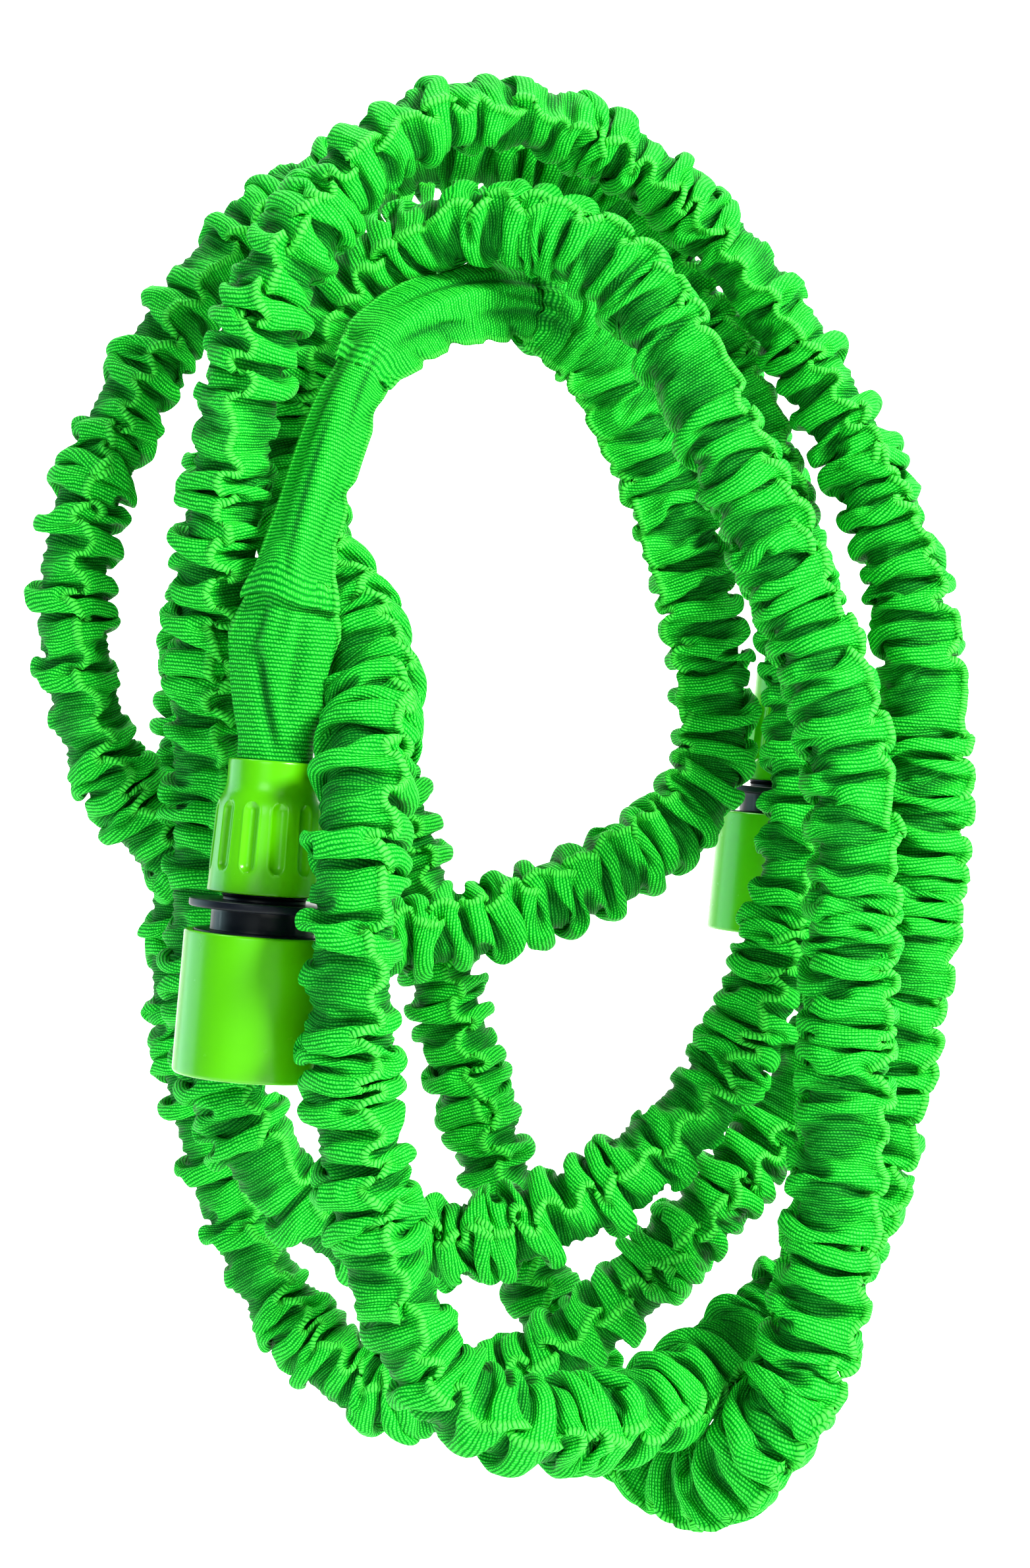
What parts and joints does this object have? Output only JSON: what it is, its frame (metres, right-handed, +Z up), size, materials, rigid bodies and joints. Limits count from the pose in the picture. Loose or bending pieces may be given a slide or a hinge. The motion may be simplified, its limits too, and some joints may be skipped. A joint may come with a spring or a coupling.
{
  "type": "expandable garden hose",
  "caption": "Gathered fabric garden hose with an elastic inner tube, hung in loops, with a push-fit quick connector on each end.",
  "frame": {"origin": "the point under the tops of the loops, over which the hose hangs", "axes": "+Z up, +Y from the front of the hung loops to their back, +X to the right as seen from the front"},
  "size_m": [0.2248, 0.1687, 0.3551],
  "materials": {
    "fabric_webbing": "gathered ribbed webbing, saturated green with yellow-green yarn highlights",
    "latex": "smooth natural latex",
    "lime_plastic": "satin-gloss moulded lime green plastic",
    "black_plastic": "semi-gloss moulded black plastic",
    "white_plastic": "smooth white acetal",
    "spring_steel": "drawn spring wire",
    "seal_rubber": "matt nitrile rubber"
  },
  "bodies": {
    "hose": {"fabric_sleeve": "fabric_webbing", "latex_tube": "latex", "left_core_body": "black_plastic", "left_retaining_ring": "black_plastic", "left_return_spring": "spring_steel", "left_socket_seal": "seal_rubber", "right_core_body": "black_plastic", "right_retaining_ring": "black_plastic", "right_return_spring": "spring_steel", "right_socket_seal": "seal_rubber"},
    "left_collet": {"left_collet": "white_plastic"},
    "left_nut": {"left_nut": "lime_plastic"},
    "left_sleeve": {"left_release_sleeve": "lime_plastic"},
    "left_claw_1": {"left_claw_1": "white_plastic"},
    "left_claw_2": {"left_claw_2": "white_plastic"},
    "left_claw_3": {"left_claw_3": "white_plastic"},
    "left_claw_4": {"left_claw_4": "white_plastic"},
    "right_collet": {"right_collet": "white_plastic"},
    "right_nut": {"right_nut": "lime_plastic"},
    "right_sleeve": {"right_release_sleeve": "lime_plastic"},
    "right_claw_1": {"right_claw_1": "white_plastic"},
    "right_claw_2": {"right_claw_2": "white_plastic"},
    "right_claw_3": {"right_claw_3": "white_plastic"},
    "right_claw_4": {"right_claw_4": "white_plastic"}
  },
  "joints": [
    {"name": "left_nut_turn", "type": "hinge", "parent": "left_collet", "child": "left_nut", "pos_m": [-0.0486, -0.06, -0.1068], "axis": [0.0767, 0, 0.9971], "range_deg": [0, 720]},
    {"name": "left_collet_slide", "type": "slide", "parent": "hose", "child": "left_collet", "axis": [0.0767, 0, 0.9971], "range_m": [0, 0.004]},
    {"name": "left_sleeve_slide", "type": "slide", "parent": "hose", "child": "left_sleeve", "axis": [0.0767, 0, 0.9971], "range_m": [0, 0.0045], "stiffness_N_per_m": 600, "springref_m": -0.008, "deforming": ["left_return_spring"]},
    {"name": "left_claw_1_slide", "type": "slide", "parent": "hose", "child": "left_claw_1", "axis": [0.9971, 0, -0.0767], "range_m": [0, 0.0014]},
    {"name": "left_claw_2_slide", "type": "slide", "parent": "hose", "child": "left_claw_2", "axis": [0, 1, 0], "range_m": [0, 0.0014]},
    {"name": "left_claw_3_slide", "type": "slide", "parent": "hose", "child": "left_claw_3", "axis": [-0.9971, 0, 0.0767], "range_m": [0, 0.0014]},
    {"name": "left_claw_4_slide", "type": "slide", "parent": "hose", "child": "left_claw_4", "axis": [0, -1, 0], "range_m": [0, 0.0014]},
    {"name": "right_nut_turn", "type": "hinge", "parent": "right_collet", "child": "right_nut", "pos_m": [0.0827, 0.058, -0.0815], "axis": [0.0872, 0, 0.9962], "range_deg": [0, 720]},
    {"name": "right_collet_slide", "type": "slide", "parent": "hose", "child": "right_collet", "axis": [0.0872, 0, 0.9962], "range_m": [0, 0.004]},
    {"name": "right_sleeve_slide", "type": "slide", "parent": "hose", "child": "right_sleeve", "axis": [0.0872, 0, 0.9962], "range_m": [0, 0.0045], "stiffness_N_per_m": 600, "springref_m": -0.008, "deforming": ["right_return_spring"]},
    {"name": "right_claw_1_slide", "type": "slide", "parent": "hose", "child": "right_claw_1", "axis": [0.9962, 0, -0.0872], "range_m": [0, 0.0014]},
    {"name": "right_claw_2_slide", "type": "slide", "parent": "hose", "child": "right_claw_2", "axis": [0, 1, 0], "range_m": [0, 0.0014]},
    {"name": "right_claw_3_slide", "type": "slide", "parent": "hose", "child": "right_claw_3", "axis": [-0.9962, 0, 0.0872], "range_m": [0, 0.0014]},
    {"name": "right_claw_4_slide", "type": "slide", "parent": "hose", "child": "right_claw_4", "axis": [0, -1, 0], "range_m": [0, 0.0014]}
  ],
  "couplings": [
    {"joint": "left_nut_turn", "follows": "left_collet_slide", "rad_per_m": 3141.6},
    {"joint": "left_claw_1_slide", "follows": "left_sleeve_slide", "ratio": 0.31},
    {"joint": "left_claw_2_slide", "follows": "left_sleeve_slide", "ratio": 0.31},
    {"joint": "left_claw_3_slide", "follows": "left_sleeve_slide", "ratio": 0.31},
    {"joint": "left_claw_4_slide", "follows": "left_sleeve_slide", "ratio": 0.31},
    {"joint": "right_nut_turn", "follows": "right_collet_slide", "rad_per_m": 3141.6},
    {"joint": "right_claw_1_slide", "follows": "right_sleeve_slide", "ratio": 0.31},
    {"joint": "right_claw_2_slide", "follows": "right_sleeve_slide", "ratio": 0.31},
    {"joint": "right_claw_3_slide", "follows": "right_sleeve_slide", "ratio": 0.31},
    {"joint": "right_claw_4_slide", "follows": "right_sleeve_slide", "ratio": 0.31}
  ]
}
